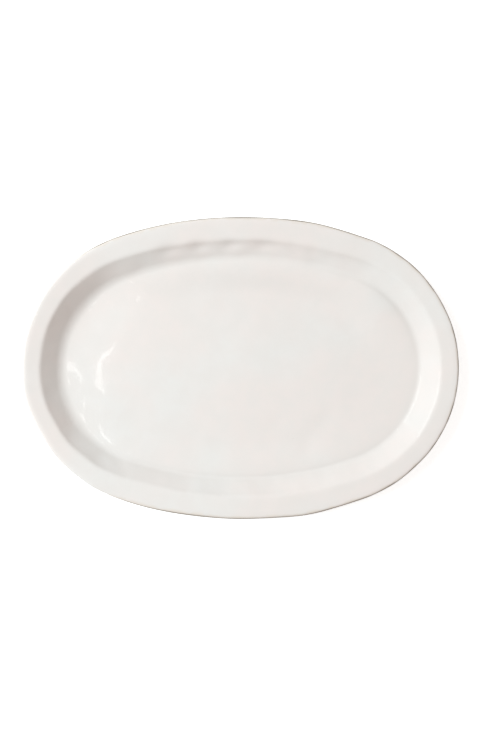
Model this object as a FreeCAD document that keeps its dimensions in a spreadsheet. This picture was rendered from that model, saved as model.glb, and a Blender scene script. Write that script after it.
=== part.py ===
import FreeCAD, Part
import math
import os
import Sketcher

# A rimmed oval serving platter in glazed stoneware.  Millimetres, +Z up, +X along the platter.
# The origin is the middle of the oval, on the table that the foot ring stands on.
#
# Every horizontal section is a four-centre oval: two end arcs and two side arcs that meet on
# one tangent.  All the ovals share the end arc's angle, so a ruled loft from one oval to the
# next is smooth across the places where its arcs meet.

SIZES = [
    ("overall_length", 406.0, "lip to lip along X"),
    ("overall_width", 281.0, "lip to lip along Y"),
    ("end_arc_angle", 71.0, "degrees from X to the place where end arc and side arc meet"),
    ("rim_height", 27.2, "table to the lip's upper corner, before it is rounded"),
    ("lip_depth", 5.4, "height of the lip's outer face, before it is rounded"),
    ("crease_length", 372.6, "bend between wall and rim, upper face, along X"),
    ("crease_width", 239.4, "the same bend along Y"),
    ("crease_height", 25.0, "table to that bend"),
    ("floor_length", 337.0, "bend between floor and wall, upper face, along X"),
    ("floor_width", 206.0, "the same bend along Y"),
    ("slab", 6.0, "thickness of the clay slab"),
    ("bend_outset", 2.3, "how far the slab's lower bend stands outside the floor's bend"),
    ("crease_outset", 2.7, "how far the lower crease stands outside the upper one"),
    ("crease_drop", 5.3, "how far the lower crease lies below the upper one"),
    ("overrun", 1.15, "how far a cutting loft runs, as a share of the rim's breadth"),
    ("headroom", 3.0, "how far a cutting loft goes straight up from there"),
    ("cove_radius", 9.0, "inside radius where the floor turns into the wall"),
    ("crease_radius", 6.0, "upper radius where the wall turns into the rim"),
    ("under_bend_radius", 13.0, "outside radius under the floor's edge"),
    ("under_crease_radius", 9.0, "lower radius where the wall turns into the rim"),
    ("lip_radius", 2.3, "rounding of both corners of the lip"),
    ("foot_height", 5.5, "table to the underside of the slab"),
    ("foot_length", 318.0, "outside of the foot ring at the slab, along X"),
    ("foot_width", 198.0, "the same along Y"),
    ("foot_breadth", 9.0, "breadth of the foot ring at the slab"),
    ("foot_taper", 1.5, "how far each side of the foot leans in on its way to the table"),
    ("foot_radius", 1.2, "rounding of the edges that the foot stands on"),
    ("glaze", 0.5, "thickness of a glaze coat, measured upright"),
    ("face_reach", 0.86, "share of the rim's upper face that is glazed, from the crease"),
    ("back_reach", 0.80, "share of the rim's underside that is glazed, from the crease"),
]

# Loose starting sizes of an oval sketch, before the sheet sets it.
START_CENTRE, START_END_RADIUS, START_ANGLE = 75.0, 128.0, math.radians(71)
LEVEL_SLACK = 0.01


class Oval:
    """A horizontal oval: its full length, full width and height, as expressions of the sheet."""

    def __init__(self, length, width, height):
        self.length, self.width, self.height = length, width, height

    def lifted(self, amount):
        """The same oval, higher by that amount."""
        return Oval(self.length, self.width, f"({self.height}) + ({amount})")

    def grown(self, amount):
        """The oval that stands that far outside this one, at the same height."""
        return Oval(f"({self.length}) + 2 * ({amount})", f"({self.width}) + 2 * ({amount})", self.height)

    def towards(self, other, share):
        """The oval at that share of the way to another one."""
        pairs = zip((self.length, self.width, self.height), (other.length, other.width, other.height))
        return Oval(*(f"({near}) + {share} * (({far}) - ({near}))" for near, far in pairs))


LIP = Oval("sizes.overall_length", "sizes.overall_width", "sizes.rim_height")
CREASE = Oval("sizes.crease_length", "sizes.crease_width", "sizes.crease_height")
FLOOR = Oval("sizes.floor_length", "sizes.floor_width", "sizes.foot_height + sizes.slab")
PAST_LIP = CREASE.towards(LIP, "sizes.overrun")
FACE_EDGE = CREASE.towards(LIP, "sizes.face_reach")

UNDER_LIP = LIP.lifted("-sizes.lip_depth")
UNDER_CREASE = CREASE.grown("sizes.crease_outset").lifted("-sizes.crease_drop")
UNDER_FLOOR = FLOOR.grown("sizes.bend_outset").lifted("-sizes.slab")
PAST_UNDER_LIP = UNDER_CREASE.towards(UNDER_LIP, "sizes.overrun")
BACK_EDGE = UNDER_CREASE.towards(UNDER_LIP, "sizes.back_reach")

FOOT_OUTSIDE = Oval("sizes.foot_length", "sizes.foot_width", "sizes.foot_height")
FOOT_INSIDE = FOOT_OUTSIDE.grown("-sizes.foot_breadth")
BASE_OUTSIDE = FOOT_OUTSIDE.grown("-sizes.foot_taper").lifted("-sizes.foot_height")
BASE_INSIDE = FOOT_INSIDE.grown("sizes.foot_taper").lifted("-sizes.foot_height")


def make_sheet(doc):
    sheet = doc.addObject("Spreadsheet::Sheet", "sizes")
    for row, (alias, value, note) in enumerate(SIZES, start=1):
        sheet.set(f"A{row}", alias)
        sheet.set(f"B{row}", str(value))
        sheet.set(f"C{row}", note)
        sheet.setAlias(f"B{row}", alias)
    doc.recompute()


def new_body(doc, label):
    body = doc.addObject("PartDesign::Body", label)
    body.Label = label
    return body


def oval_arcs(end_centre, end_radius, angle):
    """The arcs of an oval, anticlockwise: right end, far side, left end, near side."""
    side_centre = end_centre * math.tan(angle)
    side_radius = end_radius + end_centre / math.cos(angle)
    half_turn = math.pi
    arcs = (
        (end_centre, 0, end_radius, -angle, angle),
        (0, -side_centre, side_radius, angle, half_turn - angle),
        (-end_centre, 0, end_radius, half_turn - angle, half_turn + angle),
        (0, side_centre, side_radius, half_turn + angle, 2 * half_turn - angle),
    )
    up = FreeCAD.Vector(0, 0, 1)
    return [
        Part.ArcOfCircle(Part.Circle(FreeCAD.Vector(x, y, 0), up, radius), start, end)
        for x, y, radius, start, end in arcs
    ]


def oval_sketch(body, name, oval):
    """A closed oval whose arcs follow the sheet, on a plane at the oval's own height."""
    sketch = body.newObject("Sketcher::SketchObject", name)
    ground = next(f for f in body.Origin.OriginFeatures if f.Role == "XY_Plane")
    sketch.AttachmentSupport = [(ground, "")]
    sketch.MapMode = "FlatFace"
    sketch.setExpression("AttachmentOffset.Base.z", oval.height)

    arcs = oval_arcs(START_CENTRE, START_END_RADIUS, START_ANGLE)
    right, far, left, near = (sketch.addGeometry(arc, False) for arc in arcs)
    start, end, centre = 1, 2, 3
    x_axis, y_axis, origin = -1, -2, (-1, 1)
    constraint = Sketcher.Constraint
    sketch.addConstraint(
        [
            constraint("Tangent", right, end, far, start),
            constraint("Tangent", far, end, left, start),
            constraint("Tangent", left, end, near, start),
            constraint("Tangent", near, end, right, start),
            constraint("PointOnObject", right, centre, x_axis),
            constraint("PointOnObject", left, centre, x_axis),
            constraint("PointOnObject", far, centre, y_axis),
            constraint("Equal", right, left),
            constraint("Equal", far, near),
        ]
    )

    # An oval of length A and width B with the end arc angle P has its end arcs' centres at
    # (A - B) / 2 / (1 + tan P - 1 / cos P) from the middle.
    half_length, half_width = f"({oval.length}) / 2", f"({oval.width}) / 2"
    tangent = "tan(sizes.end_arc_angle * 1 deg)"
    secant = "1 / cos(sizes.end_arc_angle * 1 deg)"
    end_centre = f"({half_length} - {half_width}) / (1 + {tangent} - {secant})"
    end_radius = f"{half_length} - {end_centre}"
    side_radius = f"{half_width} + {end_centre} * {tangent}"
    driving = [
        ("end_centre", end_centre, constraint("DistanceX", *origin, right, centre, START_CENTRE)),
        ("end_radius", end_radius, constraint("Radius", right, START_END_RADIUS)),
        ("side_radius", side_radius, constraint("Radius", far, arcs[1].Radius)),
    ]
    for label, expression, dimension in driving:
        sketch.renameConstraint(sketch.addConstraint(dimension), label)
        sketch.setExpression(f"Constraints.{label}", expression)
    return sketch


def cutter(*ovals):
    """The ovals of a cutting loft, with one straight above the topmost."""
    return [ovals[0].lifted("sizes.headroom"), *ovals]


def loft(body, kind, name, ovals):
    """A ruled loft through the ovals, from the top down; kind is Additive or Subtractive.

    Returns the ovals' sketches."""
    before = body.Shape.Volume if body.Tip else 0.0
    sketches = [oval_sketch(body, f"{name}_{i}", oval) for i, oval in enumerate(ovals)]
    feature = body.newObject(f"PartDesign::{kind}Loft", name)
    feature.Profile = (sketches[0], [""])
    feature.Sections = [(sketch, [""]) for sketch in sketches[1:]]
    feature.Ruled = True
    body.Tip = feature
    body.Document.recompute()
    changed = feature.Shape.Volume - before
    if (changed > 0) != (kind == "Additive"):
        raise ValueError(f"{body.Label}: {name} changed the volume by {changed:.1f}")
    return sketches


def round_edges(body, name, sketch, radius):
    """Rounds the ring of edges that lies in the sketch's plane, to a radius from the sheet."""
    base, level = body.Tip, sketch.Placement.Base.z
    ring = [
        f"Edge{i}"
        for i, edge in enumerate(base.Shape.Edges, start=1)
        if max(abs(edge.BoundBox.ZMin - level), abs(edge.BoundBox.ZMax - level)) < LEVEL_SLACK
    ]
    feature = body.newObject("PartDesign::Fillet", name)
    feature.Base = (base, ring)
    feature.setExpression("Radius", f"sizes.{radius}")
    body.Tip = feature
    body.Document.recompute()


def make_clay_body(doc):
    """The slab: floor, wall and rim, pressed to one thickness and rounded at the lip."""
    body = new_body(doc, "clay_body")
    _, under_lip, under_crease, under_floor = loft(
        body, "Additive", "outside", [LIP.lifted("sizes.glaze"), UNDER_LIP, UNDER_CREASE, UNDER_FLOOR]
    )
    round_edges(body, "under_bend", under_floor, "under_bend_radius")
    round_edges(body, "under_crease", under_crease, "under_crease_radius")
    _, _, crease, floor = loft(body, "Subtractive", "well", cutter(PAST_LIP, CREASE, FLOOR))
    round_edges(body, "cove", floor, "cove_radius")
    round_edges(body, "crease", crease, "crease_radius")
    round_edges(body, "lip_underside", under_lip, "lip_radius")
    lip = oval_sketch(body, "lip", LIP)
    doc.recompute()
    round_edges(body, "lip_top", lip, "lip_radius")
    return body


def make_foot_ring(doc):
    """The coil of clay that is luted under the floor and trimmed to a tapered foot."""
    body = new_body(doc, "foot_ring")
    _, base_outside = loft(body, "Additive", "outside", [FOOT_OUTSIDE, BASE_OUTSIDE])
    loft(body, "Subtractive", "inside", [FOOT_INSIDE, BASE_INSIDE])
    round_edges(body, "standing_edges", base_outside, "foot_radius")
    return body


def make_coat(doc, label, lower, upper, top, bend_radius, crease_radius):
    """A thin coat with a floor, a wall and a rim.

    Its two faces are each given as their rim, crease and floor ovals; top is how far its loft
    rises straight above the lower rim oval."""
    body = new_body(doc, label)
    _, _, crease_below, floor_below = loft(body, "Additive", "under_face", [lower[0].lifted(top), *lower])
    _, _, crease_above, floor_above = loft(body, "Subtractive", "over_face", cutter(*upper))
    # At each bend the hollow side is rounded first, so that the coat is never cut through.
    round_edges(body, "bend_above", floor_above, bend_radius)
    round_edges(body, "bend_below", floor_below, bend_radius)
    round_edges(body, "crease_below", crease_below, crease_radius)
    round_edges(body, "crease_above", crease_above, crease_radius)
    return body


def make_glaze_face(doc):
    """The glaze coat on the floor, the wall and the rim, which stops just short of the lip."""
    lower = [FACE_EDGE, CREASE, FLOOR]
    upper = [oval.lifted("sizes.glaze") for oval in (PAST_LIP, CREASE, FLOOR)]
    return make_coat(doc, "glaze_face", lower, upper, "3 * sizes.glaze", "cove_radius", "crease_radius")


def make_glaze_back(doc):
    """The glaze coat on the underside, from near the lip to the outside of the foot ring."""
    lower = [oval.lifted("-sizes.glaze") for oval in (BACK_EDGE, UNDER_CREASE, UNDER_FLOOR)]
    upper = [PAST_UNDER_LIP, UNDER_CREASE, UNDER_FLOOR]
    body = make_coat(
        doc, "glaze_back", lower, upper, "2 * sizes.glaze", "under_bend_radius", "under_crease_radius"
    )
    ends = [FOOT_OUTSIDE.lifted("2 * sizes.glaze"), FOOT_OUTSIDE.lifted("-2 * sizes.glaze")]
    loft(body, "Subtractive", "foot_space", ends)
    return body


def make_glaze_base(doc):
    """The glaze coat on the underside of the floor, inside the foot ring."""
    body = new_body(doc, "glaze_base")
    outline = oval_sketch(body, "outline", FOOT_INSIDE)
    pad = body.newObject("PartDesign::Pad", "coat")
    pad.Profile = outline
    pad.Reversed = True
    pad.setExpression("Length", "sizes.glaze")
    body.Tip = pad
    doc.recompute()
    return body


def check_document(doc, parts):
    failed = [o.Name for o in doc.Objects if {"Invalid", "Error"} & set(o.State)]
    bad = [p.Label for p in parts if p.Shape.isNull() or not p.Shape.isValid() or not p.Shape.Solids]
    if failed or bad:
        raise RuntimeError(f"failed objects {failed}, bad shapes {bad}")


def main():
    doc = FreeCAD.newDocument("platter")
    make_sheet(doc)
    makers = (make_clay_body, make_foot_ring, make_glaze_face, make_glaze_back, make_glaze_base)
    parts = [make(doc) for make in makers]
    doc.recompute()
    check_document(doc, parts)
    os.makedirs("parts", exist_ok=True)
    for part in parts:
        part.Shape.exportStep(f"parts/{part.Label}.step")
        print(f"{part.Label}: {len(part.Shape.Solids)} solid, {part.Shape.Volume / 1000:.1f} cm3")


main()
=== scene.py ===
import math

import bpy
import numpy as np
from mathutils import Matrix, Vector


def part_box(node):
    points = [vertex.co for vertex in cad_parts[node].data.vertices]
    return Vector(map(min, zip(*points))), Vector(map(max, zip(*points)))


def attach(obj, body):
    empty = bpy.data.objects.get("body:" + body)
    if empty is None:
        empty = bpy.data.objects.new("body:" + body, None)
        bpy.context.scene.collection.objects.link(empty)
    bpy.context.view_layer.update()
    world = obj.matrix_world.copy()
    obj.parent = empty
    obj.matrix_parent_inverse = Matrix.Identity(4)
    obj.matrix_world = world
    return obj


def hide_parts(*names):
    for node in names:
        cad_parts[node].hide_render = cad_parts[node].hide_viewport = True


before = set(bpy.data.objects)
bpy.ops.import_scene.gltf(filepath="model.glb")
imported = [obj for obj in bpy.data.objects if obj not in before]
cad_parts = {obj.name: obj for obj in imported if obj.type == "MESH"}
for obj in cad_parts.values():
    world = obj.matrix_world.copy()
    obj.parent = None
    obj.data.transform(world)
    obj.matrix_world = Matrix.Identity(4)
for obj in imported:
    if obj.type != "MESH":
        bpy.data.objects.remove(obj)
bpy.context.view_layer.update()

# The looks of a hand-formed, glazed stoneware platter.  Metres, in the frame of the CAD model.
#
# Every surface is swept around the platter: a column of the mesh stands at one heading (the
# direction its outline faces), and a ring of the mesh is an oval with a half length, a half
# width and a height.  The clay's section is one path of such ovals, from the middle of the
# well, over the rim and the lip, back to the middle of the underside.  A glaze coat is a skin
# on a stretch of it.  All the surfaces share one hand-formed unevenness, so they stay nested.

MM = 0.001

# ---------------------------------------------------------------- sizes, from the frame

CLAY_LOW, CLAY_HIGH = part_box("clay_body")
FACE_LOW, FACE_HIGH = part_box("glaze_face")
FOOT_LOW, FOOT_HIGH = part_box("foot_ring")
_, BASE_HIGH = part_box("glaze_base")

# How fine the meshes and their paths are.
COLUMNS, PATH_POINTS, ARC_POINTS = 512, 1400, 13
# How far an oval's end arc turns, to either side of its long axis.
END_ARC = math.radians(71)

# The lip's corner stands inside the CAD's outline, and above its own rounded crown.
INSET = 0.25 * MM
CORNER_ABOVE_CROWN = 0.2 * MM
RIM_RISE = 2.2 * MM
LIP_DEPTH = 5.2 * MM
RIM_AT_END, RIM_AT_SIDE = 16.7 * MM, 20.8 * MM
WALL_AT_END, WALL_AT_SIDE = 17.8 * MM, 16.7 * MM
BEND_OUTSET = 2.3 * MM
CREASE_OUTSET, CREASE_DROP = 2.7 * MM, 5.3 * MM
# Half the slab's thickness at its floor.
HALF_SLAB = (FACE_LOW.z - CLAY_LOW.z) / 2


def oval(half_length, half_width, height):
    return np.array((half_length, half_width, height))


LIP = oval(CLAY_HIGH.x - INSET, CLAY_HIGH.y - INSET, CLAY_HIGH.z + CORNER_ABOVE_CROWN)
CREASE = LIP - oval(RIM_AT_END, RIM_AT_SIDE, RIM_RISE)
FLOOR = oval(CREASE[0] - WALL_AT_END, CREASE[1] - WALL_AT_SIDE, FACE_LOW.z)
UNDER_LIP = LIP - oval(0, 0, LIP_DEPTH)
UNDER_CREASE = CREASE + oval(CREASE_OUTSET, CREASE_OUTSET, -CREASE_DROP)
UNDER_FLOOR = oval(FLOOR[0] + BEND_OUTSET, FLOOR[1] + BEND_OUTSET, CLAY_LOW.z)
MIDDLE = oval(0, 0, FLOOR[2])
UNDER_MIDDLE = oval(0, 0, CLAY_LOW.z)

TIGHT_COVE, SOFT_COVE = 9 * MM, 16 * MM
CREASE_RADIUS, LIP_RADIUS = 7 * MM, 2.3 * MM
UNDER_CREASE_RADIUS, UNDER_BEND_RADIUS = 9 * MM, 13 * MM

FOOT_TAPER = 1.5 * MM
FOOT_SMEAR = 1.3 * MM
FOOT_BURIED, FOOT_THROAT = 0.4 * MM, 1.0 * MM
SMEAR_RADIUS, STANDING_RADIUS = 1.6 * MM, 1.2 * MM
FOOT_WEAR = 0.25 * MM
FOOT_OUTSIDE = oval(FOOT_HIGH.x, FOOT_HIGH.y, CLAY_LOW.z)
FOOT_INSIDE = oval(BASE_HIGH.x, BASE_HIGH.y, CLAY_LOW.z)
BASE_OUTSIDE = FOOT_OUTSIDE - oval(FOOT_TAPER, FOOT_TAPER, FOOT_OUTSIDE[2])
BASE_INSIDE = FOOT_INSIDE + oval(FOOT_TAPER, FOOT_TAPER, -FOOT_INSIDE[2])


# ---------------------------------------------------------------- ovals, headings and paths

def place(half_length, half_width, heading):
    """x and y where a four-centre oval faces that heading, for arrays of one shape."""
    centre = (half_length - half_width) / (1 + math.tan(END_ARC) - 1 / math.cos(END_ARC))
    drop = centre * math.tan(END_ARC)
    on_end = np.abs(np.cos(heading)) > math.cos(END_ARC)
    radius = np.where(on_end, half_length - centre, half_width + drop)
    x = np.where(on_end, centre * np.sign(np.cos(heading)), 0) + radius * np.cos(heading)
    y = np.where(on_end, 0, -drop * np.sign(np.sin(heading))) + radius * np.sin(heading)
    return x, y


def even_headings(count):
    """Headings that divide the lip into stretches of one length."""
    fine = np.linspace(0, 2 * math.pi, 8 * count + 1)
    x, y = place(np.full(fine.shape, LIP[0]), np.full(fine.shape, LIP[1]), fine)
    along = np.concatenate(([0], np.cumsum(np.hypot(np.diff(x), np.diff(y)))))
    return np.interp(np.arange(count) * along[-1] / count, along, fine)


HEADING = even_headings(COLUMNS)


def rounded_path(corners, radii, step=0.35 * MM):
    """Ovals a short step apart along straight runs that are joined by arcs.

    A radius is the arc's in the section through the platter's long axis."""
    points = [corners[0]]
    for before, corner, after, radius in zip(corners, corners[1:], corners[2:], radii):
        into, out = before - corner, after - corner
        into, out = into / np.linalg.norm(into[::2]), out / np.linalg.norm(out[::2])
        turn = math.pi - math.acos(np.clip(into[::2] @ out[::2], -1, 1))
        reach = radius * math.tan(turn / 2)
        first, last = corner + into * reach, corner + out * reach
        weight = math.cos(turn / 2)
        for t in np.linspace(0, 1, ARC_POINTS):
            share = np.array(((1 - t) ** 2, 2 * weight * t * (1 - t), t**2))
            points.append(share @ np.array((first, corner, last)) / share.sum())
    points = np.array(points + [corners[-1]])
    along = distance_along(points)
    fine = np.linspace(0, along[-1], int(along[-1] / step) + 1)
    return np.stack([np.interp(fine, along, points[:, k]) for k in range(3)], axis=1)


def distance_along(points):
    """Distance from the first point, in the section through the platter's long axis."""
    steps = np.linalg.norm(np.diff(points[:, ::2], axis=0), axis=1)
    return np.concatenate(([0], np.cumsum(steps)))


def clay_path(cove_radius):
    """The clay's section, as PATH_POINTS evenly spaced ovals."""
    corners = [MIDDLE, FLOOR, CREASE, LIP, UNDER_LIP, UNDER_CREASE, UNDER_FLOOR, UNDER_MIDDLE]
    top_radii = [cove_radius, CREASE_RADIUS, LIP_RADIUS]
    under_radii = [LIP_RADIUS, UNDER_CREASE_RADIUS, UNDER_BEND_RADIUS]
    path = rounded_path(corners, top_radii + under_radii)
    share = np.linspace(0, 1, len(path))
    even_share = np.linspace(0, 1, PATH_POINTS)
    return np.stack([np.interp(even_share, share, sizes) for sizes in path.T], axis=1)


CLAY_PATH, SOFT_PATH = clay_path(TIGHT_COVE), clay_path(SOFT_COVE)
CLAY_ALONG = distance_along(CLAY_PATH)
LIP_ALONG = CLAY_ALONG[CLAY_PATH[:, 0].argmax()]


def along_at(half_length, past_lip):
    """How far along the clay's path its top or its underside has that half length."""
    side = CLAY_ALONG > LIP_ALONG if past_lip else CLAY_ALONG <= LIP_ALONG
    lengths, along = CLAY_PATH[side, 0], CLAY_ALONG[side]
    order = np.argsort(lengths)
    return np.interp(half_length, lengths[order], along[order])


# ---------------------------------------------------------------- the marks of hand forming

def ripples(x, y, field, count=28):
    """A smooth uneven field, mostly between plus and minus its size, from mixed plane waves."""
    seed, shortest, longest, size = field
    draw = np.random.default_rng(seed)
    total = np.zeros(np.shape(x))
    for _ in range(count):
        length = shortest * (longest / shortest) ** draw.random()
        bearing, phase = 2 * math.pi * draw.random(2)
        wave = (x * math.cos(bearing) + y * math.sin(bearing)) / length
        total += np.cos(2 * math.pi * wave + phase)
    return size * np.tanh(total / math.sqrt(count))


WANDER_SOFTENED = 1.4


def wander(heading, seed, slowest, fastest):
    """A smooth uneven line around the platter, mostly between -1 and 1."""
    draw = np.random.default_rng(seed)
    total = np.zeros(np.shape(heading))
    for turns in range(slowest, fastest + 1):
        size, phase = draw.normal(), 2 * math.pi * draw.random()
        total += size * np.cos(turns * heading + phase)
    return np.tanh(total / math.sqrt((fastest - slowest + 1) / 2) / WANDER_SOFTENED)


def ramp(value, low, high):
    """0 below low, 1 above high, and a smooth rise between them."""
    t = np.clip((value - low) / (high - low), 0, 1)
    return t * t * (3 - 2 * t)


# Where the parts of the section fade in or out, as shares of the lip's half length.
WALL_FADES_IN, WALL_FADES_OUT = (0.78, 0.86), (0.90, 0.94)
RIM_FADES_IN = (0.86, 0.98)
LIP_FADES_IN = (0.975, 1.003)
SAG_FADES_IN = (CREASE[0] / LIP[0], 1.02)
# A sweep starts at the first, and is highest this much inside the floor's edge.
SWEEP_START, SWEEP_BEFORE_EDGE = 0.56, 0.035
# Heights between which the unevenness fades in, so that the foot stands flat.
OFF_GROUND, UPSTAIRS = (0.5 * MM, 8 * MM), (6.5 * MM, 10.5 * MM)
# Heights above the middle of the slab's thickness, between which a sweep fades in.
TOP_FADES_IN = (-2 * MM, 2 * MM)

# Fields of unevenness: seed, shortest wave, longest wave, size.
WALL_BULGES = (5, 0.028, 0.090, 0.50 * MM)
RIM_SWELLS = (7, 0.09, 0.26, 0.30 * MM)
RIM_RIPPLES = (9, 0.03, 0.08, 0.06 * MM)
WALL_RIPPLES = (11, 0.014, 0.034, 0.10 * MM)
WELL_SWELLS = (13, 0.045, 0.12, 0.10 * MM)
WELL_RIPPLES = (15, 0.016, 0.040, 0.03 * MM)
OUTLINE_WANDER = 0.2 * MM

# The lip droops round the left end, where the cosine from this heading rises over this range.
LEFT_DROOP, DROOP_HEADING, DROOP_AROUND = 0.5 * MM, math.radians(178), (0.1, 0.8)
# The cove is soft round the left and the far side, in the same way.
SOFT_HEADING, SOFT_AROUND = math.radians(150), (-0.35, 0.55)

# Where the outline leaves the true oval: heading in degrees, spread in degrees, distance.
OUTLINE_MARKS = [
    (2, 14, 0.4 * MM),
    (79, 3.5, 1.2 * MM),
    (145, 16, -0.9 * MM),
    (178, 9, -0.5 * MM),
    (206, 8, -2.4 * MM),
    (229, 10, -1.9 * MM),
    (247, 5, -0.8 * MM),
    (264, 4, -0.6 * MM),
    (280, 3, 1.5 * MM),
    (313, 12, -0.6 * MM),
]
# Thumb marks: x, y, half length along the bearing, half width, bearing in degrees, depth.  The
# first three are faint and bend the streaks of light, and the last four are in the far wall.
THUMB_MARKS = [
    (-0.1455, 0.026, 0.030, 0.008, 84, 0.20 * MM),
    (-0.1455, -0.036, 0.026, 0.008, 104, 0.20 * MM),
    (-0.137, 0.048, 0.006, 0.006, 0, 0.18 * MM),
    (0.079, -0.048, 0.011, 0.006, 40, 0.42 * MM),
    (0.063, -0.074, 0.009, 0.006, 80, 0.40 * MM),
    (0.035, -0.052, 0.008, 0.006, 20, 0.30 * MM),
    (-0.066, 0.1105, 0.007, 0.0035, 6, 1.2 * MM),
    (-0.037, 0.1135, 0.006, 0.0035, 3, 1.4 * MM),
    (-0.008, 0.1150, 0.006, 0.0032, 0, 1.2 * MM),
    (0.024, 0.1140, 0.007, 0.0035, -4, 1.0 * MM),
]
# Where the floor sweeps up, or dips, before it meets the wall: heading, spread, height.
SWEEPS = [(60, 26, 6.6 * MM), (92, 12, 1.0 * MM), (140, 20, -1.5 * MM), (265, 28, 2.2 * MM)]
# Where the rim sags towards its lip: heading, spread, height.
SAGS = [(322, 28, -1.0 * MM)]


def bell(off, spread):
    """A bell curve: 1 where off is nothing, and falling to either side of it."""
    return np.exp(-0.5 * (off / spread) ** 2)


def bells(heading, marks):
    """Bell curves around the platter, summed: heading and spread in degrees, and distance."""
    total = np.zeros(np.shape(heading))
    for degrees, spread, distance in marks:
        off = (np.degrees(heading) - degrees + 180) % 360 - 180
        total += distance * bell(off, spread)
    return total


def thumb_marks(x, y):
    """The sum of the thumb marks, below zero."""
    depth = np.zeros(np.shape(x))
    for at_x, at_y, half_length, half_width, bearing, deep in THUMB_MARKS:
        turn = math.radians(bearing)
        along = (x - at_x) * math.cos(turn) + (y - at_y) * math.sin(turn)
        across = (y - at_y) * math.cos(turn) - (x - at_x) * math.sin(turn)
        depth -= deep * np.exp(-0.5 * ((along / half_length) ** 2 + (across / half_width) ** 2))
    return depth


def hand_formed(half_length, half_width, height, heading):
    """Points of a grid, with the unevenness that all the nested surfaces share."""
    x, y = place(half_length, half_width, heading)
    reach = half_length / LIP[0]
    floor_edge, crease = FLOOR[0] / LIP[0], CREASE[0] / LIP[0]
    on_wall = ramp(reach, *WALL_FADES_IN) * (1 - ramp(reach, *WALL_FADES_OUT))
    on_rim = ramp(reach, *RIM_FADES_IN)
    off_ground = ramp(height, *OFF_GROUND)
    upstairs = ramp(height, *UPSTAIRS)
    in_well = upstairs * (1 - on_rim)

    outward = bells(heading, OUTLINE_MARKS) * on_rim
    outward += OUTLINE_WANDER * (wander(heading, seed=3, slowest=5, fastest=22) - 1) * on_rim
    outward += ripples(x, y, WALL_BULGES) * on_wall * off_ground
    x = x + outward * np.cos(heading)
    y = y + outward * np.sin(heading)

    highest_swell = RIM_SWELLS[-1]
    lift = (ripples(x, y, RIM_SWELLS) - highest_swell) * on_rim
    drooping = ramp(np.cos(heading - DROOP_HEADING), *DROOP_AROUND)
    lift -= LEFT_DROOP * drooping * ramp(reach, *LIP_FADES_IN)
    lift += ripples(x, y, RIM_RIPPLES) * on_rim
    lift += bells(heading, SAGS) * ramp(reach, *SAG_FADES_IN)
    lift += ripples(x, y, WALL_RIPPLES) * on_wall * off_ground
    lift += ripples(x, y, WELL_SWELLS) * in_well
    lift += ripples(x, y, WELL_RIPPLES) * in_well
    lift += thumb_marks(x, y) * upstairs
    lift += bells(heading, SWEEPS) * sweep_share(reach, height, floor_edge, crease)
    return np.stack((x, y, height + lift), axis=-1)


def sweep_share(reach, height, floor_edge, crease):
    """The share of a sweep that the slab's top takes there.  Its underside takes none."""
    highest = floor_edge - SWEEP_BEFORE_EDGE
    along_section = ramp(reach, SWEEP_START, highest) * (1 - ramp(reach, highest, crease))
    middle_heights = (FLOOR[2] - HALF_SLAB, CREASE[2] - HALF_SLAB)
    inside_slab = np.interp(reach, (floor_edge, crease), middle_heights)
    on_top = ramp(height - inside_slab, *TOP_FADES_IN)
    return along_section * on_top


def clay_surface(along):
    """The clay's surface on a grid of distances along its path, one column per heading."""
    softness = ramp(np.cos(HEADING - SOFT_HEADING), *SOFT_AROUND)
    shape = []
    for tight_sizes, soft_sizes in zip(CLAY_PATH.T, SOFT_PATH.T):
        tight = np.interp(along, CLAY_ALONG, tight_sizes)
        soft = np.interp(along, CLAY_ALONG, soft_sizes)
        shape.append(tight * (1 - softness) + soft * softness)
    return hand_formed(*shape, np.broadcast_to(HEADING, along.shape))


def outward_normals(grid):
    """Unit normals at a grid's points, which point out of the clay."""
    along = np.gradient(grid, axis=0)
    around = np.roll(grid, -1, axis=1) - np.roll(grid, 1, axis=1)
    normal = np.cross(along, around)
    return normal / np.maximum(np.linalg.norm(normal, axis=-1, keepdims=True), 1e-12)


# ---------------------------------------------------------------- meshes

def swept_mesh(name, grid, looped):
    """A mesh of quads between a grid's rings, closed in a loop or with a pole at each end."""
    rings, columns = grid.shape[:2]
    near = np.arange(columns)
    far = (near + 1) % columns
    faces = []
    for ring in range(rings if looped else rings - 1):
        low, high = ring * columns, (ring + 1) % rings * columns
        faces += np.stack((low + near, high + near, high + far, low + far), axis=1).tolist()
    points = grid.reshape(-1, 3).tolist()
    if not looped:
        first_pole = len(points)
        last_pole = first_pole + 1
        last_ring = (rings - 1) * columns
        points += [grid[0].mean(axis=0).tolist(), grid[-1].mean(axis=0).tolist()]
        pairs = list(zip(near.tolist(), far.tolist()))
        faces += [[first_pole, a, b] for a, b in pairs]
        faces += [[last_pole, last_ring + b, last_ring + a] for a, b in pairs]
    mesh = bpy.data.meshes.new(name)
    mesh.from_pydata(points, [], faces)
    mesh.shade_smooth()
    piece = bpy.data.objects.new(name, mesh)
    bpy.context.scene.collection.objects.link(piece)
    return piece


def add_attribute(piece, name, values):
    """A number per vertex, for a material.  A pole takes the mean of the ring beside it."""
    poles = [values[0].mean(), values[-1].mean()]
    flat = values.ravel().tolist() + poles
    count = len(piece.data.vertices)
    piece.data.attributes.new(name, "FLOAT", "POINT").data.foreach_set("value", flat[:count])


def stations(*stretches):
    """Distances along the path.  A stretch says from, to, and about how far apart."""
    runs = [
        np.linspace(low, high, max(1, round((high - low) / gap)), endpoint=False)
        for low, high, gap in stretches
    ]
    return np.concatenate(runs + [[stretches[-1][1]]])


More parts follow.
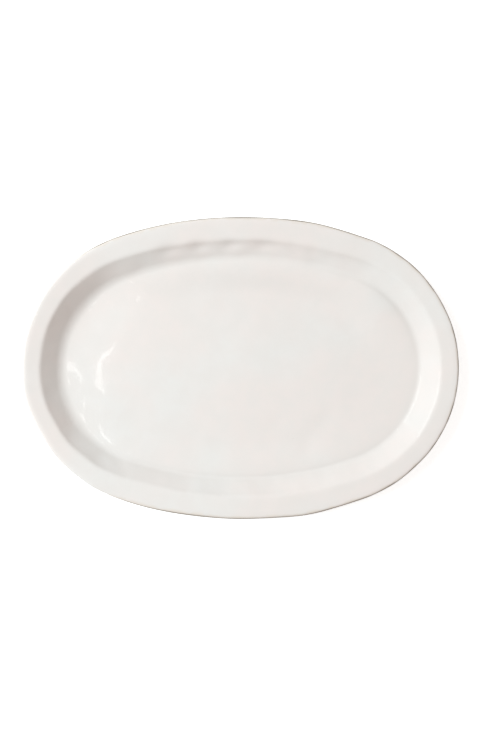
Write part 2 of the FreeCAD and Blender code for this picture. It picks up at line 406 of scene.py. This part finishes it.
# Where a mesh's rings change their spacing, as distances along the clay's path.
POLE_GAP = 2.0 * MM
PATH_END = CLAY_ALONG[-1]
COVE_START = along_at(FLOOR[0] - 9 * MM, past_lip=False)
CREASE_END = along_at(CREASE[0] + 6 * MM, past_lip=False)
LIP_START, LIP_END = LIP_ALONG - 5 * MM, LIP_ALONG + 5 * MM
UNDER_CREASE_START = along_at(UNDER_CREASE[0] + 7 * MM, past_lip=True)
UNDER_BEND_END = along_at(UNDER_FLOOR[0] - 9 * MM, past_lip=True)


def make_clay_slab():
    """The slab: floor, wall, rim and lip, top and underside."""
    along = stations(
        (POLE_GAP, COVE_START, 9 * MM),
        (COVE_START, CREASE_END, 1.8 * MM),
        (CREASE_END, LIP_START, 3 * MM),
        (LIP_START, LIP_END, 0.35 * MM),
        (LIP_END, UNDER_CREASE_START, 3 * MM),
        (UNDER_CREASE_START, UNDER_BEND_END, 1.8 * MM),
        (UNDER_BEND_END, PATH_END - POLE_GAP, 6 * MM),
    )
    along = np.repeat(along[:, None], COLUMNS, axis=1)
    return swept_mesh("clay_slab", clay_surface(along), looped=False)


def make_foot():
    """The foot: a tapered ring with rounded standing edges, luted on with a smear of slip."""
    throat = oval(0, 0, -FOOT_THROAT)
    path = rounded_path(
        [
            FOOT_OUTSIDE + oval(FOOT_SMEAR, FOOT_SMEAR, FOOT_BURIED),
            FOOT_OUTSIDE + throat,
            BASE_OUTSIDE,
            BASE_INSIDE,
            FOOT_INSIDE + throat,
            FOOT_INSIDE + oval(-FOOT_SMEAR, -FOOT_SMEAR, FOOT_BURIED),
        ],
        [SMEAR_RADIUS, STANDING_RADIUS, STANDING_RADIUS, SMEAR_RADIUS],
    )
    path = np.repeat(path[:, :, None], COLUMNS, axis=2)
    worn = FOOT_WEAR * wander(HEADING, seed=21, slowest=3, fastest=20)
    grid = hand_formed(path[:, 0] + worn, path[:, 1] + worn, path[:, 2], HEADING[None])
    return swept_mesh("foot", grid, looped=True)


# A coat stands this far out of the clay and reaches this far into it.  At an edge it rolls down
# over a short distance, and it is half as deep there as it is further in.
COAT_DEPTH, BED_DEPTH = 0.42 * MM, 0.12 * MM
ROLL_OVER = 0.7 * MM
THIN_UNTIL, FULL_FROM = 0.6 * MM, 5 * MM
# Where glaze pools and where it thins, and how wide each band is.
COVE_MIDDLE, POOL_SPREAD = along_at(FLOOR[0] - 1 * MM, past_lip=False), 5 * MM
CREASE_MIDDLE, CREST_SPREAD = along_at(CREASE[0], past_lip=False), 4 * MM


def make_coat(name, along, start=None, end=None):
    """A skin of glaze on a stretch of the clay's path.

    along holds its stations.  start and end are its edges, a distance for every heading; where
    one isn't given, the coat runs on to the middle of the platter."""

    def around(over, under):
        """Both sides' rings as one run, with its ends at the middle if the coat goes there."""
        return np.concatenate((under, over) if end is None else (over, under))

    first = np.full(COLUMNS, along[0]) if start is None else start
    last = np.full(COLUMNS, along[-1]) if end is None else end
    share = (along - along[0]) / (along[-1] - along[0])
    along = first + share[:, None] * (last - first)
    no_edge = np.full(along.shape, 1.0)
    from_start = no_edge if start is None else along - first
    from_end = no_edge if end is None else last - along
    from_edge = np.minimum(from_start, from_end)

    clay = clay_surface(along)
    normal = outward_normals(clay)
    roll = np.sqrt(ramp(from_edge, 0, ROLL_OVER))
    depth = COAT_DEPTH * roll * (0.5 + 0.5 * ramp(from_edge, THIN_UNTIL, FULL_FROM))
    face = clay + normal * depth[..., None]
    # The bed runs back the other way, with every second ring of the face.
    rows = sorted({*range(0, len(along), 2), len(along) - 1}, reverse=True)
    bed = (clay - normal * BED_DEPTH)[rows]

    piece = swept_mesh(name, around(face, bed), looped=start is not None and end is not None)
    on_path = around(along, along[rows])
    add_attribute(piece, "from_edge", around(from_edge, from_edge[rows]))
    add_attribute(piece, "pooled", bell(on_path - COVE_MIDDLE, POOL_SPREAD))
    add_attribute(piece, "crested", bell(on_path - CREASE_MIDDLE, CREST_SPREAD))
    return piece


# Where the coats stop, along the path, before or past the lip and clear of the foot.
FACE_STOPS_BEFORE_LIP, BACK_STARTS_PAST_LIP = 2.3 * MM, 2.6 * MM
CLEAR_OUTSIDE_FOOT, CLEAR_INSIDE_FOOT = 2.2 * MM, 2.4 * MM
FACE_EDGE_WANDER, BACK_EDGE_WANDER = 0.35 * MM, 0.5 * MM
# At the left the face's coat runs this much further, over the lip, so no bare clay shows there:
# a painted highlight, white glaze put where the key light makes the left lip bright.
OVER_LIP, OVER_LIP_HEADING, OVER_LIP_AROUND = 3.6 * MM, math.radians(188), (0.30, 0.75)
# Rings beside an edge: width and spacing of the finest band, then of the band beside it.
FINEST_BAND, FINEST_GAP = 1 * MM, 0.12 * MM
FINE_BAND, FINE_GAP = 5 * MM, 0.6 * MM
FOOT_FINE_BAND, FOOT_FINE_GAP = 3 * MM, 0.5 * MM


def from_edge_on(edge):
    """Stretches that start fine at an edge."""
    fine_start = edge + FINEST_BAND
    return (edge, fine_start, FINEST_GAP), (fine_start, edge + FINE_BAND, FINE_GAP)


def up_to_edge(edge, band, gap):
    """Stretches that end fine at an edge."""
    fine_end = edge - FINEST_BAND
    return (edge - band, fine_end, gap), (fine_end, edge, FINEST_GAP)


def make_glaze_face():
    """The coat in the well and on the rim.  It stops inside the lip, or past it at the left,
    where it covers the lip as a painted highlight.
    """
    at_left = ramp(np.cos(HEADING - OVER_LIP_HEADING), *OVER_LIP_AROUND)
    wandering = FACE_EDGE_WANDER * wander(HEADING, seed=31, slowest=6, fastest=60)
    # Past the lip at the left: a painted highlight in place of the bare clay's line.
    edge = LIP_ALONG - FACE_STOPS_BEFORE_LIP + wandering + OVER_LIP * at_left
    along = stations(
        (POLE_GAP, COVE_START, 3.2 * MM),
        (COVE_START, CREASE_END, 1.3 * MM),
        (CREASE_END, edge.mean() - FINE_BAND, 1.5 * MM),
        *up_to_edge(edge.mean(), FINE_BAND, FINE_GAP),
    )
    return make_coat("face_glaze", along, end=edge)


def make_glaze_back():
    """The coat on the underside, from below the lip to the outside of the foot."""
    wandering = BACK_EDGE_WANDER * wander(HEADING, seed=33, slowest=6, fastest=60)
    edge = LIP_ALONG + BACK_STARTS_PAST_LIP + wandering
    wandering = BACK_EDGE_WANDER * wander(HEADING, seed=35, slowest=6, fastest=50)
    foot_edge = along_at(FOOT_OUTSIDE[0] + CLEAR_OUTSIDE_FOOT, past_lip=True) + wandering
    along = stations(
        *from_edge_on(edge.mean()),
        (edge.mean() + FINE_BAND, UNDER_CREASE_START, 1.5 * MM),
        (UNDER_CREASE_START, foot_edge.mean() - FOOT_FINE_BAND, 1.4 * MM),
        *up_to_edge(foot_edge.mean(), FOOT_FINE_BAND, FOOT_FINE_GAP),
    )
    return make_coat("back_glaze", along, start=edge, end=foot_edge)


def make_glaze_base():
    """The coat on the underside, inside the foot."""
    wandering = BACK_EDGE_WANDER * wander(HEADING, seed=37, slowest=6, fastest=50)
    foot_edge = along_at(FOOT_INSIDE[0] - CLEAR_INSIDE_FOOT, past_lip=True) + wandering
    along = stations(
        *from_edge_on(foot_edge.mean()),
        (foot_edge.mean() + FINE_BAND, PATH_END - POLE_GAP, 4 * MM),
    )
    return make_coat("base_glaze", along, start=foot_edge)


# ---------------------------------------------------------------- materials

class Nodes:
    """A material's node tree, with short ways to add and join nodes."""

    def __init__(self, name):
        self.material = bpy.data.materials.new(name)
        self.material.use_nodes = True
        self.tree = self.material.node_tree
        self.shader = self.tree.nodes["Principled BSDF"]
        self.here = self.add("ShaderNodeTexCoord").outputs["Object"]

    def add(self, kind, **settings):
        node = self.tree.nodes.new(kind)
        for name, value in settings.items():
            setattr(node, name, value)
        return node

    def join(self, source, target):
        self.tree.links.new(source, target)

    def feed(self, socket, value):
        """Joins an output to the socket, or sets the socket to a plain value."""
        if isinstance(value, bpy.types.NodeSocket):
            self.join(value, socket)
        else:
            socket.default_value = value

    def noise(self, scale, detail=2.0, roughness=0.5, shift=0.0):
        """Noise between 0 and 1.  scale is in patches to the metre."""
        mapping = self.add("ShaderNodeMapping")
        mapping.inputs["Location"].default_value = (shift, 0.7 * shift, 1.3 * shift)
        self.join(self.here, mapping.inputs["Vector"])
        node = self.add("ShaderNodeTexNoise")
        self.join(mapping.outputs["Vector"], node.inputs["Vector"])
        node.inputs["Scale"].default_value = scale
        node.inputs["Detail"].default_value = detail
        node.inputs["Roughness"].default_value = roughness
        return node.outputs["Fac"]

    def cells(self, scale):
        """Distance from the nearest of scattered points; scale is in points to the metre."""
        node = self.add("ShaderNodeTexVoronoi")
        self.join(self.here, node.inputs["Vector"])
        node.inputs["Scale"].default_value = scale
        return node.outputs["Distance"]

    def attribute(self, name):
        return self.add("ShaderNodeAttribute", attribute_name=name).outputs["Fac"]

    def remap(self, value, low, high, new_low=0.0, new_high=1.0):
        """new_low below low, new_high above high, and a smooth change between them."""
        node = self.add("ShaderNodeMapRange", interpolation_type="SMOOTHSTEP")
        self.feed(node.inputs["Value"], value)
        self.feed(node.inputs["From Min"], low)
        self.feed(node.inputs["From Max"], high)
        self.feed(node.inputs["To Min"], new_low)
        self.feed(node.inputs["To Max"], new_high)
        return node.outputs["Result"]

    def math(self, operation, first, second=0.0):
        node = self.add("ShaderNodeMath", operation=operation)
        self.feed(node.inputs[0], first)
        self.feed(node.inputs[1], second)
        return node.outputs["Value"]

    def mix(self, share, first, second):
        """A colour between two colours, which are outputs or RGB triples."""
        node = self.add("ShaderNodeMix", data_type="RGBA")
        self.feed(node.inputs[0], share)
        for socket, colour in ((node.inputs[6], first), (node.inputs[7], second)):
            self.feed(socket, (*colour, 1.0) if isinstance(colour, tuple) else colour)
        return node.outputs[2]

    def bump(self, height, distance, below=None):
        """A bump of that many metres for a height from 0 to 1, on top of another bump."""
        node = self.add("ShaderNodeBump")
        node.inputs["Distance"].default_value = distance
        self.join(height, node.inputs["Height"])
        if below is not None:
            self.join(below, node.inputs["Normal"])
        return node.outputs["Normal"]


# Base colours, as linear RGB.
COOL_WHITE = (0.820, 0.782, 0.742)
WARM_WHITE = (0.842, 0.762, 0.716)
GREY_WHITE = (0.805, 0.752, 0.708)
POOLED_WHITE = (0.790, 0.746, 0.700)
THIN_GLAZE = (0.790, 0.705, 0.625)
CLAY_PALE = (0.480, 0.418, 0.360)
CLAY_DARK = (0.360, 0.308, 0.260)
CLAY_SPECK = (0.120, 0.090, 0.070)
FLOOR_DIM, FLOOR_PALE = (0.89, 0.89, 0.885), (0.92, 0.92, 0.915)

GLAZE_SMOOTHEST, GLAZE_DULLEST, THIN_IS_DULLER = 0.10, 0.20, 0.25
GLAZE_IOR = 1.52
SHEEN_WEIGHT, SHEEN_ROUGHNESS = 0.7, 0.035
ORANGE_PEEL, PIT_DEPTH = 0.035 * MM, 0.12 * MM
CLAY_SMOOTHEST, CLAY_ROUGHEST = 0.62, 0.85
GRIT, TRIMMING_MARKS = 0.05 * MM, 0.08 * MM
FLOOR_ROUGHNESS, FLOOR_TOOTH = 0.9, 0.1 * MM

# How much of another colour shows, at most.
MOTTLE_SHARE, POOL_SHARE, CREST_SHARE, PINHOLE_SHARE = 0.5, 0.35, 0.10, 0.35
GRAIN_SHARE, SPECK_SHARE = 0.3, 0.7
# The glaze is thin up to a distance from its edge that varies between these.
THIN_AT_LEAST, THIN_AT_MOST = 0.9 * MM, 3.6 * MM


def glaze_material():
    """A glossy tin-white glaze, clouded, with pinholes, thin where it rolls over an edge."""
    nodes = Nodes("white_glaze")
    clouds = nodes.remap(nodes.noise(scale=11, detail=3, roughness=0.55), 0.34, 0.60)
    colour = nodes.mix(clouds, COOL_WHITE, WARM_WHITE)
    mottle = nodes.noise(scale=62, detail=3, roughness=0.6, shift=11)
    mottle = nodes.remap(mottle, 0.35, 0.65, 0.0, MOTTLE_SHARE)
    colour = nodes.mix(mottle, colour, GREY_WHITE)
    pooled = nodes.math("MULTIPLY", nodes.attribute("pooled"), POOL_SHARE)
    colour = nodes.mix(pooled, colour, POOLED_WHITE)

    ragged = nodes.noise(scale=140, detail=4, shift=3)
    ragged = nodes.remap(ragged, 0.3, 0.7, THIN_AT_LEAST, THIN_AT_MOST)
    thin = nodes.remap(nodes.attribute("from_edge"), 0.0, ragged, 1.0, 0.0)
    in_patches = nodes.remap(nodes.noise(scale=60, shift=5), 0.4, 0.8)
    crested = nodes.math("MULTIPLY", nodes.attribute("crested"), in_patches)
    thin = nodes.math("MAXIMUM", thin, nodes.math("MULTIPLY", crested, CREST_SHARE))
    colour = nodes.mix(thin, colour, THIN_GLAZE)

    pinhole = nodes.remap(nodes.cells(scale=95), 0.03, 0.055, 1.0, 0.0)
    here_and_there = nodes.remap(nodes.noise(scale=28, shift=9), 0.55, 0.66)
    pinhole = nodes.math("MULTIPLY", pinhole, here_and_there)
    colour = nodes.mix(nodes.math("MULTIPLY", pinhole, PINHOLE_SHARE), colour, THIN_GLAZE)
    nodes.join(colour, nodes.shader.inputs["Base Color"])

    uneven = nodes.noise(scale=35, detail=3, shift=7)
    roughness = nodes.remap(uneven, 0.3, 0.7, GLAZE_SMOOTHEST, GLAZE_DULLEST)
    roughness = nodes.math("ADD", roughness, nodes.math("MULTIPLY", thin, THIN_IS_DULLER))
    nodes.join(roughness, nodes.shader.inputs["Roughness"])
    nodes.shader.inputs["IOR"].default_value = GLAZE_IOR
    nodes.shader.inputs["Coat Weight"].default_value = SHEEN_WEIGHT
    nodes.shader.inputs["Coat Roughness"].default_value = SHEEN_ROUGHNESS

    peel = nodes.bump(nodes.noise(scale=170, detail=2, shift=1), ORANGE_PEEL)
    pits = nodes.math("SUBTRACT", 1.0, pinhole)
    nodes.join(nodes.bump(pits, PIT_DEPTH, below=peel), nodes.shader.inputs["Normal"])
    return nodes.material


def clay_material():
    """Grey-brown stoneware with sand and iron specks, matte and a little gritty."""
    nodes = Nodes("bare_clay")
    patches = nodes.remap(nodes.noise(scale=45, detail=4), 0.3, 0.7)
    colour = nodes.mix(patches, CLAY_PALE, CLAY_DARK)
    grain = nodes.noise(scale=1400, detail=3, roughness=0.7)
    colour = nodes.mix(nodes.remap(grain, 0.35, 0.75, 0.0, GRAIN_SHARE), colour, CLAY_DARK)
    speck = nodes.remap(nodes.cells(scale=420), 0.10, 0.18, 1.0, 0.0)
    speck = nodes.math("MULTIPLY", speck, nodes.remap(nodes.noise(scale=90, shift=4), 0.5, 0.6))
    colour = nodes.mix(nodes.math("MULTIPLY", speck, SPECK_SHARE), colour, CLAY_SPECK)
    nodes.join(colour, nodes.shader.inputs["Base Color"])
    uneven = nodes.noise(scale=200, detail=3, shift=2)
    roughness = nodes.remap(uneven, 0.3, 0.7, CLAY_SMOOTHEST, CLAY_ROUGHEST)
    nodes.join(roughness, nodes.shader.inputs["Roughness"])
    gritty = nodes.bump(grain, GRIT)
    trimming = nodes.noise(scale=220, detail=2, shift=6)
    trimmed = nodes.bump(trimming, TRIMMING_MARKS, below=gritty)
    nodes.join(trimmed, nodes.shader.inputs["Normal"])
    return nodes.material


def floor_material():
    """Pale board with the faintest tooth."""
    nodes = Nodes("pale_floor")
    tone = nodes.mix(nodes.noise(scale=2.5, detail=3), FLOOR_DIM, FLOOR_PALE)
    nodes.join(tone, nodes.shader.inputs["Base Color"])
    nodes.shader.inputs["Roughness"].default_value = FLOOR_ROUGHNESS
    tooth = nodes.bump(nodes.noise(scale=60, detail=4), FLOOR_TOOTH)
    nodes.join(tooth, nodes.shader.inputs["Normal"])
    return nodes.material


def haze_material(name, strength):
    """Light added to whatever is seen through the surface."""
    material = bpy.data.materials.new(name)
    material.use_nodes = True
    tree = material.node_tree
    tree.nodes.remove(tree.nodes["Principled BSDF"])
    clear = tree.nodes.new("ShaderNodeBsdfTransparent")
    glow = tree.nodes.new("ShaderNodeEmission")
    both = tree.nodes.new("ShaderNodeAddShader")
    glow.inputs["Strength"].default_value = strength
    tree.links.new(clear.outputs[0], both.inputs[0])
    tree.links.new(glow.outputs[0], both.inputs[1])
    tree.links.new(both.outputs[0], tree.nodes["Material Output"].inputs["Surface"])
    return material


def finish_piece(piece, material, node):
    """Gives the piece its material, and puts it in the place of the CAD node."""
    piece.data.materials.append(material)
    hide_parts(node)
    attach(piece, "root")


# ---------------------------------------------------------------- stage, lights and camera

FLOOR_HAZE, DOME_GLOW = 0.62, 1.1
FLOOR_SIZE, DOME_RADIUS = 24.0, 11.0
FLOOR_BELOW_FOOT, HAZE_BELOW_FOOT = 0.10 * MM, 0.05 * MM
CAMERA_SENSOR, CAMERA_LENS = 36.0, 74.0
CAMERA_ABOVE_RIM = 1.3986
ROOM_COLOUR, ROOM_STRENGTH = (1.0, 0.940, 0.905), 0.47
KEY_BEARING, KEY_ELEVATION, KEY_DISTANCE = math.radians(163), math.radians(46), 3.0
KEY_COLOUR, PLAIN_WHITE = (0.822, 0.936, 0.996), (1.0, 1.0, 1.0)
MIDDLE_OF_TABLE = (0, 0, 0)


def make_level_plane(name, material, height):
    """A square as wide as the floor, at that height."""
    half = FLOOR_SIZE / 2
    corners = [(x * half, y * half, height) for x, y in ((-1, -1), (1, -1), (1, 1), (-1, 1))]
    mesh = bpy.data.meshes.new(name)
    mesh.from_pydata(corners, [], [(0, 1, 2, 3)])
    mesh.materials.append(material)
    plane = bpy.data.objects.new(name, mesh)
    bpy.context.scene.collection.objects.link(plane)
    return plane


def make_stage():
    """A pale floor, with a haze over it and a white dome behind it that light nothing else."""
    floor = make_level_plane("floor", floor_material(), FOOT_LOW.z - FLOOR_BELOW_FOOT)
    glow = haze_material("floor_haze", FLOOR_HAZE)
    haze = make_level_plane("floor_haze", glow, FOOT_LOW.z - HAZE_BELOW_FOOT)
    bpy.ops.mesh.primitive_uv_sphere_add(segments=48, ring_count=24, radius=DOME_RADIUS)
    dome = bpy.context.object
    dome.name = "white_dome"
    dome.data.materials.append(haze_material("white_dome", DOME_GLOW))
    for glowing in (haze, dome):
        for ray in ("diffuse", "glossy", "transmission", "volume_scatter", "shadow"):
            setattr(glowing, f"visible_{ray}", False)


def add_area_light(name, location, target, width, height, power, colour, reflected=True):
    """A rectangle of light that faces the target, its height along the platter's width."""
    light = bpy.data.lights.new(name, "AREA")
    light.shape = "RECTANGLE"
    light.size, light.size_y = width, height
    light.energy, light.color = power, colour
    lamp = bpy.data.objects.new(name, light)
    lamp.location = location
    direction = Vector(target) - Vector(location)
    lamp.rotation_euler = direction.to_track_quat("-Z", "X").to_euler()
    lamp.visible_camera = False
    lamp.visible_glossy = reflected
    bpy.context.scene.collection.objects.link(lamp)


def make_lights():
    """A warm room, a cool key light without a reflection, a dim window and a narrow strip."""
    world = bpy.data.worlds.new("room")
    world.use_nodes = True
    background = world.node_tree.nodes["Background"]
    background.inputs["Color"].default_value = (*ROOM_COLOUR, 1.0)
    background.inputs["Strength"].default_value = ROOM_STRENGTH
    bpy.context.scene.world = world

    level = KEY_DISTANCE * math.cos(KEY_ELEVATION)
    above = KEY_DISTANCE * math.sin(KEY_ELEVATION)
    add_area_light(
        "key",
        location=(level * math.cos(KEY_BEARING), level * math.sin(KEY_BEARING), above),
        target=MIDDLE_OF_TABLE,
        width=1.9,
        height=1.9,
        power=93.5,
        colour=KEY_COLOUR,
        reflected=False,
    )
    add_area_light(
        "window",
        location=(-1.3, 0.5, 1.5),
        target=MIDDLE_OF_TABLE,
        width=0.9,
        height=0.9,
        power=2.2,
        colour=PLAIN_WHITE,
    )
    # The streaks on the floor of the well, at its left end, are this strip's reflection.
    add_area_light(
        "strip",
        location=(-0.285, 0.022, 1.43),
        target=(-0.142, 0.011, 0),
        width=0.015,
        height=0.095,
        power=0.018,
        colour=PLAIN_WHITE,
    )


def make_camera():
    """A camera straight above the middle of the platter, which looks down."""
    camera = bpy.data.cameras.new("camera")
    camera.sensor_width, camera.lens = CAMERA_SENSOR, CAMERA_LENS
    eye = bpy.data.objects.new("camera", camera)
    eye.location = (0, 0, FACE_HIGH.z + CAMERA_ABOVE_RIM)
    bpy.context.scene.collection.objects.link(eye)
    bpy.context.scene.camera = eye


def main():
    glaze, clay = glaze_material(), clay_material()
    finish_piece(make_clay_slab(), clay, "clay_body")
    finish_piece(make_foot(), clay, "foot_ring")
    finish_piece(make_glaze_face(), glaze, "glaze_face")
    finish_piece(make_glaze_back(), glaze, "glaze_back")
    finish_piece(make_glaze_base(), glaze, "glaze_base")
    make_stage()
    make_lights()
    make_camera()
    bpy.context.scene.view_settings.view_transform = "Standard"


main()
